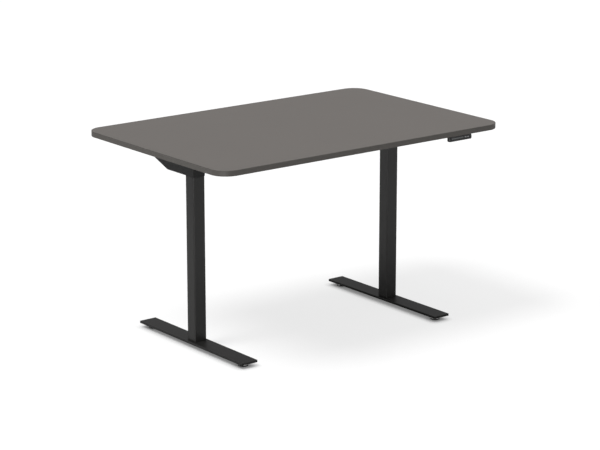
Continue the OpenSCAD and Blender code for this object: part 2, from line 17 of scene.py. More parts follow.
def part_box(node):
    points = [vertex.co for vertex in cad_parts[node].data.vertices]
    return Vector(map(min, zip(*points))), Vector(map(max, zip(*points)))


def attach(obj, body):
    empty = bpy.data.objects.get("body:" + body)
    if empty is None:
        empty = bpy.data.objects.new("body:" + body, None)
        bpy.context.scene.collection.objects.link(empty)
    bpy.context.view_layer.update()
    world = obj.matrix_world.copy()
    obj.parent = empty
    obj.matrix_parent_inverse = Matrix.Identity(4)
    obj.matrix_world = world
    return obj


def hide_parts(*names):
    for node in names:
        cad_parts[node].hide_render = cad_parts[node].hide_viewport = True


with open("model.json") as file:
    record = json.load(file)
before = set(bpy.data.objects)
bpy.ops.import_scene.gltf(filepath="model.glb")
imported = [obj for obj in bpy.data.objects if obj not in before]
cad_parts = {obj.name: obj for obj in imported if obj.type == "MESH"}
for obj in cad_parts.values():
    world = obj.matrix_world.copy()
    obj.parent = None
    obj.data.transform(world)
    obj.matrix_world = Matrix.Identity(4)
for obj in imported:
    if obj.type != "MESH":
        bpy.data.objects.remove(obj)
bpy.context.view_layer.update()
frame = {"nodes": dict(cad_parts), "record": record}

MM = 0.001
SMOOTH_BELOW = math.radians(28)
FLAT_WITHIN = math.radians(0.5)
LOG = logging.getLogger("desk")

Colour = tuple[float, float, float]
Point = tuple[float, float, float]
Outline = list[tuple[float, float]]


class Side(Enum):
    """The two legs, by the sign of their X."""

    LEFT = -1
    RIGHT = 1

    def node(self, stem: str) -> str:
        """Return the CAD node of this side, such as arm_left."""
        return f"{stem}_{self.name.lower()}"


class End(Enum):
    """The two ends of a foot, by the sign of their Y."""

    FRONT = -1
    BACK = 1

    def node(self, stem: str, side: Side) -> str:
        """Return the CAD node at this end of that side's foot."""
        return side.node(f"{stem}_{self.name.lower()}")


class Axis(Enum):
    """The direction in which a screw's head looks."""

    DOWN = (0.0, 0.0, -1.0)
    LEFTWARD = (-1.0, 0.0, 0.0)
    RIGHTWARD = (1.0, 0.0, 0.0)

    def turn(self) -> Matrix:
        """Return the rotation that takes +Z to this direction."""
        return Vector((0, 0, 1)).rotation_difference(Vector(self.value)).to_matrix().to_4x4()


# ---------------------------------------------------------------- shader building


class Sketch:
    """Shorthand for adding and joining nodes in one node tree."""

    def __init__(self, tree: bpy.types.NodeTree) -> None:
        """Keep the tree that the nodes go into."""
        self.tree = tree

    def add(self, kind: str, inputs: dict | None = None, **settings: object) -> bpy.types.Node:
        """Add a node.

        Args:
            kind: Blender's type name of the node.
            inputs: socket name or index to a value, or to an output socket to join.
            **settings: attributes of the node, such as operation.

        Returns:
            The new node.
        """
        node = self.tree.nodes.new(kind)
        for name, value in settings.items():
            setattr(node, name, value)
        for name, value in (inputs or {}).items():
            if isinstance(value, bpy.types.NodeSocket):
                self.tree.links.new(value, node.inputs[name])
            else:
                node.inputs[name].default_value = value
        return node

    def maths(self, operation: str, a: object, b: object = 0.0) -> bpy.types.NodeSocket:
        """Return the result socket of a Math node on a and b."""
        return self.add("ShaderNodeMath", {0: a, 1: b}, operation=operation).outputs[0]

    def noise(self, where: object, scale: object, detail: float = 2.0) -> bpy.types.NodeSocket:
        """Return the value socket of a noise texture read at a place."""
        values = {"Vector": where, "Scale": scale, "Detail": detail}
        return self.add("ShaderNodeTexNoise", values).outputs["Fac"]


def new_group(name: str, inputs: dict[str, object], outputs: dict[str, str]) -> tuple:
    """Make an empty shader group with named sockets.

    Args:
        name: the group's name.
        inputs: socket name to its default value; a number, or a colour of four numbers.
        outputs: socket name to Float or Color.

    Returns:
        The sketch of the group's tree, its input node and its output node.
    """
    tree = bpy.data.node_groups.new(name, "ShaderNodeTree")
    for socket_name, value in inputs.items():
        kind = "NodeSocketFloat" if isinstance(value, float) else "NodeSocketColor"
        made = tree.interface.new_socket(socket_name, in_out="INPUT", socket_type=kind)
        made.default_value = value
    for socket_name, kind in outputs.items():
        tree.interface.new_socket(socket_name, in_out="OUTPUT", socket_type=f"NodeSocket{kind}")
    sketch = Sketch(tree)
    return sketch, sketch.add("NodeGroupInput"), sketch.add("NodeGroupOutput")


def place_coordinates(sketch: Sketch) -> bpy.types.NodeSocket:
    """Return a socket with the place on the piece, in metres, which moves with the piece."""
    return sketch.add("ShaderNodeTexCoord").outputs["Object"]


class Effects:
    """Shader groups that several finishes share, each built once."""

    def __init__(self) -> None:
        """Build every group."""
        self.tone = self._tone()
        self.gloss = self._gloss()
        self.grain = self._grain()
        self.strokes = self._strokes()
        self.dust = self._dust()
        self.edges = self._edge_highlight()

    @staticmethod
    def _tone() -> bpy.types.NodeTree:
        """Return the group that lets a colour drift lighter and darker over the surface."""
        inputs = {"Color": (0.5, 0.5, 0.5, 1.0), "Amount": 0.05, "Scale": 6.0}
        sketch, given, result = new_group("tone drift", inputs, {"Color": "Color"})
        place = place_coordinates(sketch)
        broad = sketch.noise(place, given.outputs["Scale"], 3.0)
        swing = sketch.maths("SUBTRACT", broad, 0.5)
        swing = sketch.maths("MULTIPLY", swing, given.outputs["Amount"])
        value = sketch.maths("MULTIPLY_ADD", swing, 2.0)
        value.node.inputs[2].default_value = 1.0
        shade = sketch.add(
            "ShaderNodeHueSaturation", {"Color": given.outputs["Color"], "Value": value}
        )
        sketch.tree.links.new(shade.outputs["Color"], result.inputs["Color"])
        return sketch.tree

    @staticmethod
    def _gloss() -> bpy.types.NodeTree:
        """Return the group that varies roughness, in broad patches and in fine specks."""
        inputs = {"Roughness": 0.5, "Amount": 0.05, "Scale": 8.0}
        sketch, given, result = new_group("gloss drift", inputs, {"Roughness": "Float"})
        place = place_coordinates(sketch)
        broad = sketch.noise(place, given.outputs["Scale"], 4.0)
        fine = sketch.noise(place, sketch.maths("MULTIPLY", given.outputs["Scale"], 40.0), 1.0)
        both = sketch.maths("ADD", broad, fine)
        swing = sketch.maths("SUBTRACT", both, 1.0)
        swing = sketch.maths("MULTIPLY", swing, given.outputs["Amount"])
        rough = sketch.maths("ADD", swing, given.outputs["Roughness"])
        sketch.tree.links.new(rough, result.inputs["Roughness"])
        return sketch.tree

    @staticmethod
    def _grain() -> bpy.types.NodeTree:
        """Return the group with the height of a moulded, coated or pressed surface."""
        inputs = {"Scale": 900.0, "Soft": 0.5}
        sketch, given, result = new_group("surface grain", inputs, {"Height": "Float"})
        place = place_coordinates(sketch)
        cells = sketch.add(
            "ShaderNodeTexVoronoi",
            {"Vector": place, "Scale": given.outputs["Scale"]},
            feature="SMOOTH_F1",
        ).outputs["Distance"]
        waves = sketch.noise(place, sketch.maths("MULTIPLY", given.outputs["Scale"], 0.6), 2.0)
        mixed = sketch.add(
            "ShaderNodeMix", {0: given.outputs["Soft"], 2: cells, 3: waves}, data_type="FLOAT"
        )
        sketch.tree.links.new(mixed.outputs[0], result.inputs["Height"])
        return sketch.tree

    @staticmethod
    def _strokes() -> bpy.types.NodeTree:
        """Return the group with the fine parallel lines of drawn or ground metal."""
        inputs = {"Across": 1500.0, "Along": 30.0}
        outputs = {"Height": "Float", "Mask": "Float"}
        sketch, given, result = new_group("drawn lines", inputs, outputs)
        place = place_coordinates(sketch)
        stretch = sketch.add(
            "ShaderNodeCombineXYZ",
            {0: given.outputs["Across"], 1: given.outputs["Across"], 2: given.outputs["Along"]},
        ).outputs[0]
        stretched = sketch.add(
            "ShaderNodeVectorMath", {0: place, 1: stretch}, operation="MULTIPLY"
        ).outputs[0]
        lines = sketch.noise(stretched, 1.0, 3.0)
        sketch.tree.links.new(lines, result.inputs["Height"])
        sketch.tree.links.new(lines, result.inputs["Mask"])
        return sketch.tree

    @staticmethod
    def _dust() -> bpy.types.NodeTree:
        """Return the group that lays a trace of dust on what faces upwards."""
        inputs = {"Color": (0.1, 0.1, 0.1, 1.0), "Amount": 0.05}
        sketch, given, result = new_group("settled dust", inputs, {"Color": "Color"})
        place = place_coordinates(sketch)
        normal = sketch.add("ShaderNodeNewGeometry").outputs["Normal"]
        upward = sketch.add("ShaderNodeSeparateXYZ", {0: normal}).outputs["Z"]
        flat = sketch.add(
            "ShaderNodeMapRange", {"Value": upward, "From Min": 0.6, "From Max": 1.0}
        ).outputs[0]
        patches = sketch.noise(place, 18.0, 5.0)
        mask = sketch.maths("MULTIPLY", flat, patches)
        mask = sketch.maths("MULTIPLY", mask, given.outputs["Amount"])
        values = {0: mask, 6: given.outputs["Color"], 7: (0.42, 0.40, 0.37, 1.0)}
        mixed = sketch.add("ShaderNodeMix", values, data_type="RGBA")
        sketch.tree.links.new(mixed.outputs[2], result.inputs["Color"])
        return sketch.tree

    @staticmethod
    def _edge_highlight() -> bpy.types.NodeTree:
        """Return the group that paints a lighter highlight along the corners of a piece, broken up
        by noise.
        """
        inputs = {"Color": (0.1, 0.1, 0.1, 1.0), "Worn": (0.2, 0.2, 0.2, 1.0), "Amount": 0.5}
        outputs = {"Color": "Color", "Mask": "Float"}
        sketch, given, result = new_group("edge wear", inputs, outputs)
        place = place_coordinates(sketch)
        normal = sketch.add("ShaderNodeNewGeometry").outputs["Normal"]
        turned = sketch.add("ShaderNodeBevel", {"Radius": 1.2 * MM}, samples=4).outputs["Normal"]
        match = sketch.add(
            "ShaderNodeVectorMath", {0: normal, 1: turned}, operation="DOT_PRODUCT"
        ).outputs["Value"]
        corner = sketch.add(
            "ShaderNodeMapRange",
            {"Value": match, "From Min": 0.995, "From Max": 0.86, "To Min": 0.0, "To Max": 1.0},
        ).outputs[0]
        broken = sketch.noise(place, 160.0, 4.0)
        broken = sketch.add(
            "ShaderNodeMapRange", {"Value": broken, "From Min": 0.35, "From Max": 0.7}
        ).outputs[0]
        mask = sketch.maths("MULTIPLY", corner, broken)
        mask = sketch.maths("MULTIPLY", mask, given.outputs["Amount"])
        values = {0: mask, 6: given.outputs["Color"], 7: given.outputs["Worn"]}
        mixed = sketch.add("ShaderNodeMix", values, data_type="RGBA")
        sketch.tree.links.new(mixed.outputs[2], result.inputs["Color"])
        sketch.tree.links.new(mask, result.inputs["Mask"])
        return sketch.tree


# ---------------------------------------------------------------- finishes


@dataclass(frozen=True)
class Finish:
    """A surface finish: colour, gloss and the fine relief that it shows close up."""

    name: str
    colour: Colour
    roughness: float = 0.5
    metallic: float = 0.0
    specular: float = 0.5
    coat: float = 0.0
    tone: float = 0.04
    tone_scale: float = 6.0
    gloss: float = 0.05
    grain_size: float = 0.8 * MM
    grain_depth: float = 0.02 * MM
    grain_soft: float = 0.5
    dust: float = 0.0
    # colour and strength of a painted highlight along the edges
    worn: Colour | None = None
    wear: float = 0.0

    def material(self, effects: Effects) -> bpy.types.Material:
        """Build the material.

        Args:
            effects: the shared shader groups.

        Returns:
            The new material, with its colour, roughness and relief wired up.
        """
        made = bpy.data.materials.new(self.name)
        made.use_nodes = True
        made.diffuse_color = (*self.colour, 1.0)
        sketch = Sketch(made.node_tree)
        shader = made.node_tree.nodes["Principled BSDF"]
        shader.inputs["Metallic"].default_value = self.metallic
        shader.inputs["Specular IOR Level"].default_value = self.specular
        shader.inputs["Coat Weight"].default_value = self.coat
        join = made.node_tree.links.new
        join(self._colour(sketch, effects), shader.inputs["Base Color"])
        join(self._roughness(sketch, effects), shader.inputs["Roughness"])
        values = {"Height": self._height(sketch, effects), "Distance": self.grain_depth}
        bump = sketch.add("ShaderNodeBump", values)
        join(bump.outputs["Normal"], shader.inputs["Normal"])
        return made

    def _colour(self, sketch: Sketch, effects: Effects) -> bpy.types.NodeSocket:
        """Return the socket with the drifting, lightly dusted colour, with a painted highlight
        along the edges where the finish has one.
        """
        values = {"Color": (*self.colour, 1.0), "Amount": self.tone, "Scale": self.tone_scale}
        colour = sketch.add("ShaderNodeGroup", node_tree=effects.tone)
        for name, value in values.items():
            colour.inputs[name].default_value = value
        shown = colour.outputs["Color"]
        # painted highlight: a lighter colour mixed in along the edges
        if self.worn is not None:
            edges = sketch.add("ShaderNodeGroup", node_tree=effects.edges)
            sketch.tree.links.new(shown, edges.inputs["Color"])
            edges.inputs["Worn"].default_value = (*self.worn, 1.0)
            edges.inputs["Amount"].default_value = self.wear
            shown = edges.outputs["Color"]
        if self.dust > 0.0:
            dust = sketch.add("ShaderNodeGroup", node_tree=effects.dust)
            sketch.tree.links.new(shown, dust.inputs["Color"])
            dust.inputs["Amount"].default_value = self.dust
            shown = dust.outputs["Color"]
        return shown

    def _roughness(self, sketch: Sketch, effects: Effects) -> bpy.types.NodeSocket:
        """Return the socket with the varying roughness."""
        gloss = sketch.add("ShaderNodeGroup", node_tree=effects.gloss)
        gloss.inputs["Roughness"].default_value = self.roughness
        gloss.inputs["Amount"].default_value = self.gloss
        return gloss.outputs["Roughness"]

    def _height(self, sketch: Sketch, effects: Effects) -> bpy.types.NodeSocket:
        """Return the socket with the height of the fine relief."""
        grain = sketch.add("ShaderNodeGroup", node_tree=effects.grain)
        grain.inputs["Scale"].default_value = 1.0 / self.grain_size
        grain.inputs["Soft"].default_value = self.grain_soft
        return grain.outputs["Height"]


@dataclass(frozen=True)
class DrawnMetal(Finish):
    """Bare or plated metal with the fine lines of its drawing or grinding."""

    metallic: float = 1.0
    across: float = 1500.0
    along: float = 30.0

    def _height(self, sketch: Sketch, effects: Effects) -> bpy.types.NodeSocket:
        """Return the socket with the height of the drawn lines."""
        lines = sketch.add("ShaderNodeGroup", node_tree=effects.strokes)
        lines.inputs["Across"].default_value = self.across
        lines.inputs["Along"].default_value = self.along
        return lines.outputs["Height"]


FINISHES: dict[str, Finish] = {
    "grey_laminate": Finish(
        "grey_laminate", (0.104, 0.0955, 0.0885), roughness=0.58, specular=0.3, tone=0.025,
        tone_scale=3.0, gloss=0.03, grain_size=0.9 * MM, grain_depth=0.03 * MM, grain_soft=0.7,
    ),
    # darker than grey_laminate though the band is the same grey: painted shade on its upright faces
    "grey_edge": Finish(
        "grey_edge", (0.077, 0.0715, 0.0655), roughness=0.46, specular=0.3, tone=0.03,
        grain_size=0.7 * MM, grain_depth=0.015 * MM,
    ),
    # both powder coats paint a lighter highlight along their edges
    "black_powder": Finish(
        "black_powder", (0.0080, 0.0076, 0.0069), roughness=0.34, specular=0.52, tone=0.12,
        gloss=0.05, grain_size=1.1 * MM, grain_depth=0.05 * MM, grain_soft=0.4, dust=0.004,
        worn=(0.045, 0.045, 0.045), wear=0.6,
    ),
    # a darker, duller copy of black_powder for the arms and feet; its darker colour is painted
    # shade
    "satin_powder": Finish(
        "satin_powder", (0.0070, 0.0067, 0.0062), roughness=0.42, specular=0.36, tone=0.12,
        gloss=0.05, grain_size=1.1 * MM, grain_depth=0.05 * MM, grain_soft=0.4, dust=0.003,
        worn=(0.04, 0.04, 0.04), wear=0.6,
    ),
    "black_nylon": Finish(
        "black_nylon", (0.011, 0.011, 0.011), roughness=0.48, tone=0.08,
        grain_size=0.5 * MM, grain_depth=0.02 * MM,
    ),
    "white_nylon": Finish(
        "white_nylon", (0.66, 0.65, 0.60), roughness=0.42, tone=0.04,
        grain_size=0.6 * MM, grain_depth=0.015 * MM,
    ),
    "bright_steel": DrawnMetal(
        "bright_steel", (0.53, 0.54, 0.55), roughness=0.26, tone=0.05,
        grain_depth=0.01 * MM,
    ),
    "zinc_steel": DrawnMetal(
        "zinc_steel", (0.62, 0.63, 0.63), roughness=0.38, tone=0.08, tone_scale=40.0,
        grain_depth=0.012 * MM, across=600.0, along=500.0,
    ),
    # near-white non-metal on the glide studs in place of their zinc: partly the discs' pale grey,
    # partly painted light on the rims in the plate's shade
    "glide_plating": Finish(
        "glide_plating", (0.88, 0.88, 0.87), roughness=0.4, metallic=0.0, tone=0.05,
        tone_scale=40.0, grain_size=0.8 * MM, grain_depth=0.01 * MM,
    ),
    "cast_alloy": Finish(
        "cast_alloy", (0.36, 0.37, 0.38), roughness=0.52, metallic=1.0, tone=0.1,
        tone_scale=30.0, grain_size=1.4 * MM, grain_depth=0.08 * MM,
    ),
    "nut_brass": DrawnMetal(
        "nut_brass", (0.60, 0.43, 0.17), roughness=0.3, tone=0.06, grain_depth=0.01 * MM,
    ),
    "motor_paint": Finish(
        "motor_paint", (0.03, 0.031, 0.033), roughness=0.4, tone=0.1,
        grain_size=1.0 * MM, grain_depth=0.02 * MM,
    ),
    "black_plastic": Finish(
        "black_plastic", (0.014, 0.014, 0.0142), roughness=0.52, specular=0.45, tone=0.08,
        grain_size=0.9 * MM, grain_depth=0.06 * MM, grain_soft=0.2,
    ),
    "handset_plastic": Finish(
        "handset_plastic", (0.010, 0.010, 0.0105), roughness=0.34, tone=0.05,
        grain_size=0.6 * MM, grain_depth=0.015 * MM,
    ),
    "display_glass": Finish(
        "display_glass", (0.06, 0.062, 0.064), roughness=0.14, coat=0.8, tone=0.05,
        grain_size=2.0 * MM, grain_depth=0.002 * MM,
    ),
    "button_grey": Finish(
        "button_grey", (0.17, 0.172, 0.175), roughness=0.45, tone=0.04,
        grain_size=0.5 * MM, grain_depth=0.015 * MM,
    ),
    "sole_rubber": Finish(
        "sole_rubber", (0.022, 0.022, 0.022), roughness=0.75, specular=0.3, tone=0.12,
        grain_size=0.9 * MM, grain_depth=0.08 * MM,
    ),
    "cable_jacket": Finish(
        "cable_jacket", (0.013, 0.013, 0.013), roughness=0.42, tone=0.08,
        grain_size=0.7 * MM, grain_depth=0.02 * MM,
    ),
    "arrow_print": Finish(
        "arrow_print", (0.62, 0.63, 0.63), roughness=0.5, tone=0.03,
        grain_size=0.4 * MM, grain_depth=0.005 * MM,
    ),
}


class Paintbox:
    """Holds the materials that have been built, one for each finish."""

    def __init__(self) -> None:
        """Build the shared effects; materials are made when they are first asked for."""
        self.effects = Effects()
        self.made: dict[str, bpy.types.Material] = {}

    def get(self, name: str) -> bpy.types.Material:
        """Return the material of a finish, building it on first use."""
        if name not in self.made:
            self.made[name] = FINISHES[name].material(self.effects)
        return self.made[name]

    def paint(self, piece: bpy.types.Object, name: str) -> None:
        """Give a piece one finish all over."""
        piece.data.materials.clear()
        piece.data.materials.append(self.get(name))


# ---------------------------------------------------------------- mesh helpers


def slot_of(node: str) -> str:
    """Return the record's material slot of a CAD node."""
    for row in frame["record"]["subparts"]:
        if row["node"] == node:
            return row["material_slot"]
    raise KeyError(node)


def solid_boxes(node: str) -> list[tuple[Vector, Vector]]:
    """Find the separate solids in a CAD node.

    Args:
        node: the node's name.

    Returns:
        The lowest and highest corner of each solid.
    """
    bm = bmesh.new()
    bm.from_mesh(frame["nodes"][node].data)
    bmesh.ops.remove_doubles(bm, verts=bm.verts, dist=0.002 * MM)
    bm.verts.ensure_lookup_table()
    unseen = set(bm.verts)
    boxes = []
    while unseen:
        start = min(unseen, key=lambda v: v.index)
        stack, island = [start], {start}
        while stack:
            for edge in stack.pop().link_edges:
                for vert in edge.verts:
                    if vert not in island:
                        island.add(vert)
                        stack.append(vert)
        unseen -= island
        low = Vector(min(v.co[i] for v in island) for i in range(3))
        high = Vector(max(v.co[i] for v in island) for i in range(3))
        boxes.append((low, high))
    bm.free()
    return boxes


def mesh_piece(name: str, bm: bmesh.types.BMesh, smooth: bool = True) -> bpy.types.Object:
    """Turn a bmesh into an object in the scene.

    Args:
        name: the piece's name.
        bm: the mesh, which is freed.
        smooth: whether its faces are shaded smooth.

    Returns:
        The new object, at the origin.
    """
    bmesh.ops.recalc_face_normals(bm, faces=bm.faces)
    for face in bm.faces:
        face.smooth = smooth
    mesh = bpy.data.meshes.new(name)
    bm.to_mesh(mesh)
    bm.free()
    piece = bpy.data.objects.new(name, mesh)
    bpy.context.scene.collection.objects.link(piece)
    return piece


def even_shading(piece: bpy.types.Object) -> None:
    """Weight the piece's shading normals by face area, so that flats stay flat."""
    shade = piece.modifiers.new("even_shading", "WEIGHTED_NORMAL")
    shade.weight = 50


def soften(piece: bpy.types.Object, radius: float, steps: int = 3) -> None:
    """Round the sharp edges of a piece, as deburring, coating or moulding leaves them.

    Args:
        piece: a CAD node or a piece made here.
        radius: the radius of the rounding.
        steps: faces across each rounded edge.
    """
    join = piece.modifiers.new("join", "WELD")
    join.merge_threshold = 0.001 * MM
    flat = piece.modifiers.new("flat", "DECIMATE")
    flat.decimate_type = "DISSOLVE"
    flat.angle_limit = FLAT_WITHIN
    edge = piece.modifiers.new("edge", "BEVEL")
    edge.width = radius
    edge.segments = steps
    edge.limit_method = "ANGLE"
    edge.angle_limit = SMOOTH_BELOW
    even_shading(piece)


def arc(cx: float, cy: float, radius: float, start: float, end: float, steps: int) -> Outline:
    """Return points on an arc about (cx, cy), from start to end degrees, both included.

    Args:
        cx, cy: the centre.
        radius: the radius.
        start, end: the first and last angle, in degrees.
        steps: the number of steps between them.

    Returns:
        The points, both ends included.
    """
    return [
        (cx + radius * math.cos(a), cy + radius * math.sin(a))
        for a in (math.radians(start + (end - start) * i / steps) for i in range(steps + 1))
    ]


def rounded_outline(x0: float, x1: float, y0: float, y1: float, radius: float,
                    steps: int) -> Outline:
    """Return a rectangle with round corners, anticlockwise from the lower right corner.

    Args:
        x0, x1: the lowest and highest x.
        y0, y1: the lowest and highest y.
        radius: the corner radius.
        steps: the number of steps in each corner.

    Returns:
        The closed outline.
    """
    return (
        arc(x1 - radius, y0 + radius, radius, -90, 0, steps)
        + arc(x1 - radius, y1 - radius, radius, 0, 90, steps)
        + arc(x0 + radius, y1 - radius, radius, 90, 180, steps)
        + arc(x0 + radius, y0 + radius, radius, 180, 270, steps)
    )


def loft(rings: Sequence[Sequence[Point]], closed: bool = False) -> bmesh.types.BMesh:
    """Skin rings that have the same number of points.

    Args:
        rings: the rings, each a closed loop of points.
        closed: whether the last ring joins the first, in place of two end caps.

    Returns:
        The new mesh.
    """
    bm = bmesh.new()
    rows = [[bm.verts.new(p) for p in ring] for ring in rings]
    count = len(rows[0])
    pairs = list(zip(rows, rows[1:]))
    if closed:
        pairs.append((rows[-1], rows[0]))
    for lower, upper in pairs:
        for i in range(count):
            j = (i + 1) % count
            bm.faces.new((lower[i], lower[j], upper[j], upper[i]))
    if not closed:
        bm.faces.new(reversed(rows[0]))
        bm.faces.new(rows[-1])
    return bm


def lathe(profile: Sequence[tuple[float, float]], steps: int = 48) -> bmesh.types.BMesh:
    """Turn a profile of (radius, height) points about +Z; it starts and ends on the axis.

    Args:
        profile: the points of the profile.
        steps: the number of faces round the axis.

    Returns:
        The new mesh.
    """
    bm = bmesh.new()
    turned = profile[1:-1]
    rows = [
        [bm.verts.new((r * math.cos(a), r * math.sin(a), z))
         for a in (2 * math.pi * i / steps for i in range(steps))]
        for r, z in turned
    ]
    for lower, upper in zip(rows, rows[1:]):
        for i in range(steps):
            j = (i + 1) % steps
            bm.faces.new((lower[i], lower[j], upper[j], upper[i]))
    for row, (_, z) in ((rows[0], profile[0]), (rows[-1], profile[-1])):
        tip = bm.verts.new((0.0, 0.0, z))
        for i in range(steps):
            bm.faces.new((row[i], row[(i + 1) % steps], tip))
    return bm


def smooth_route(points: Sequence[Vector], steps: int) -> list[Vector]:
    """Run a smooth curve through a route's points, with a number of steps between them.

    Args:
        points: the points that the curve goes through.
        steps: the number of steps from each point to the next.

    Returns:
        The points of the curve.
    """
    route = []
    last = len(points) - 1
    for i in range(last):
        p0, p1 = points[max(i - 1, 0)], points[i]
        p2, p3 = points[i + 1], points[min(i + 2, last)]
        for s in range(steps):
            t = s / steps
            route.append(p1 + 0.5 * t * (
                p2 - p0 + t * (2 * p0 - 5 * p1 + 4 * p2 - p3 + t * (3 * p1 - p0 - 3 * p2 + p3))
            ))
    return route + [points[last]]


def tube(route: Sequence[Vector], radius: Callable[[int], float], sides: int) -> bmesh.types.BMesh:
    """Sweep a round section along a route that never stands upright.

    Args:
        route: the points of the route.
        radius: the section's radius at a point's index.
        sides: points round the section.

    Returns:
        The new mesh, closed at both ends.
    """
    rings = []
    for i, centre in enumerate(route):
        ahead = route[min(i + 1, len(route) - 1)] - route[max(i - 1, 0)]
        ahead.normalize()
        across = ahead.cross(Vector((0, 0, 1))).normalized()
        upright = across.cross(ahead)
        turns = (2 * math.pi * k / sides for k in range(sides))
        rings.append([
            centre + radius(i) * (math.cos(a) * across + math.sin(a) * upright) for a in turns
        ])
    return loft(rings)


def merged(parts: Iterable[bmesh.types.BMesh]) -> bmesh.types.BMesh:
    """Put several meshes into one bmesh, freeing the parts.

    Args:
        parts: the meshes, which are freed.

    Returns:
        The new mesh.
    """
    whole = bmesh.new()
    for part in parts:
        mesh = bpy.data.meshes.new("part")
        part.to_mesh(mesh)
        part.free()
        whole.from_mesh(mesh)
        bpy.data.meshes.remove(mesh)
    return whole


def box_mesh(low: Vector, high: Vector) -> bmesh.types.BMesh:
    """Return a cuboid between two corners, as a cutting tool or a blank."""
    corners = [(low.x, low.y), (high.x, low.y), (high.x, high.y), (low.x, high.y)]
    return loft([[(x, y, z) for x, y in corners] for z in (low.z, high.z)])


def carve(piece: bpy.types.Object, tool: bmesh.types.BMesh, operation: str) -> None:
    """Join a tool's shape to a piece or cut it out, for good.

    Args:
        piece: the piece to work on.
        tool: the other shape, which is freed.
        operation: UNION or DIFFERENCE.
    """
    other = mesh_piece("tool", tool, smooth=True)
    step = piece.modifiers.new("carve", "BOOLEAN")
    step.object = other
    step.operation = operation
    step.solver = "EXACT"
    evaluated = piece.evaluated_get(bpy.context.evaluated_depsgraph_get())
    result = bpy.data.meshes.new_from_object(evaluated)
    piece.modifiers.remove(step)
    piece.data = result
    bpy.data.objects.remove(other)


# ---------------------------------------------------------------- sub-assemblies


@dataclass
class Board:
    """The laminated board with its plastic edge band."""

    band_edge: float = 1.0 * MM
    seam: float = 0.15 * MM
    corner_steps: int = 24
    edge_steps: int = 6
    low: Vector = field(default_factory=lambda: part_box("edge_band")[0])
    high: Vector = field(default_factory=lambda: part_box("edge_band")[1])
    band: float = field(
        default_factory=lambda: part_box("tabletop")[0].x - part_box("edge_band")[0].x
    )
    corner: float = 60 * MM

    def outline(self, inset: float) -> Outline:
        """Return the plan of the top, drawn in by a distance all round."""
        return rounded_outline(
            self.low.x + inset, self.high.x - inset, self.low.y + inset, self.high.y - inset,
            self.corner - inset, self.corner_steps,
        )

    def build(self, paint: Paintbox) -> None:
        """Make the board and the band and dress them."""
        self._slab(paint)
        self._band(paint)
        LOG.info("board and edge band: %d points a corner", self.corner_steps)

    def _slab(self, paint: Paintbox) -> None:
        """Make the board, with a fine groove where it meets the band."""
        levels = (
            (self.seam, self.low.z), (0.0, self.low.z + self.seam),
            (0.0, self.high.z - self.seam), (self.seam, self.high.z),
        )
        rings = [[(x, y, z) for x, y in self.outline(self.band + i)] for i, z in levels]
        slab = mesh_piece("board_slab", loft(rings), smooth=False)
        paint.paint(slab, "grey_laminate")
        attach(slab, "top")
        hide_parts("tabletop")

    def _band(self, paint: Paintbox) -> None:
        """Make the band as a ring whose outer edges are rounded over."""
        r = self.band_edge
        turns = [math.radians(90 * k / self.edge_steps) for k in range(self.edge_steps + 1)]
        crown = [(r - r * math.sin(a), self.high.z - r + r * math.cos(a)) for a in turns]
        foot = [(r - r * math.sin(a), self.low.z + r - r * math.cos(a)) for a in turns]
        section = [(self.band, self.high.z), *crown, *reversed(foot), (self.band, self.low.z)]
        rings = [[(x, y, z) for x, y in self.outline(inset)] for inset, z in section]
        band = mesh_piece("edge_band_moulded", loft(rings, closed=True))
        even_shading(band)
        # the band takes the darker grey: painted shade on its upright faces
        paint.paint(band, "grey_edge")
        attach(band, "top")
        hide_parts("edge_band")


@dataclass
class Leg:
    """One telescopic column with its foot, glides, arm and drive."""

    side: Side
    edge_radii: dict[str, float] = field(default_factory=lambda: {
        "foot": 0.4 * MM, "outer_tube": 0.35 * MM, "inner_tube": 0.3 * MM,
        "upper_guide": 0.4 * MM, "lower_guide": 0.4 * MM, "tube_plug": 0.6 * MM,
        "push_tube": 0.3 * MM, "spindle_nut": 0.5 * MM, "arm": 0.5 * MM,
        "gear_case": 1.0 * MM, "spindle_bearing": 0.5 * MM, "motor_can": 1.2 * MM,
        "motor_cover": 0.6 * MM, "spindle": 0.6 * MM, "crown_wheel": 0.2 * MM,
        "drive_shaft": 0.2 * MM,
    })
    glide_radii: dict[str, float] = field(default_factory=lambda: {
        "glide_sole": 0.5 * MM, "glide_stud": 0.5 * MM,
    })

    def build(self, paint: Paintbox) -> None:
        """Round the edges of the leg's CAD nodes and dress them."""
        for stem, radius in self.edge_radii.items():
            dress_node(paint, self.side.node(stem), radius)
        for end in End:
            for stem, radius in self.glide_radii.items():
                dress_node(paint, end.node(stem, self.side), radius)
            # glide studs: pale colour brightened with painted light on the shaded rims
            paint.paint(frame["nodes"][end.node("glide_stud", self.side)], "glide_plating")
        # the arms and feet take the darker copy of the powder coat: painted shade
        for stem in ("arm", "foot"):
            paint.paint(frame["nodes"][self.side.node(stem)], "satin_powder")
        LOG.info("%s leg: %d CAD nodes dressed", self.side.name.lower(),
                 len(self.edge_radii) + 2 * len(self.glide_radii))


def dress_node(paint: Paintbox, node: str, radius: float) -> None:
    """Round a CAD node's edges and give it the finish of its slot."""
    piece = frame["nodes"][node]
    soften(piece, radius)
    paint.paint(piece, slot_of(node))


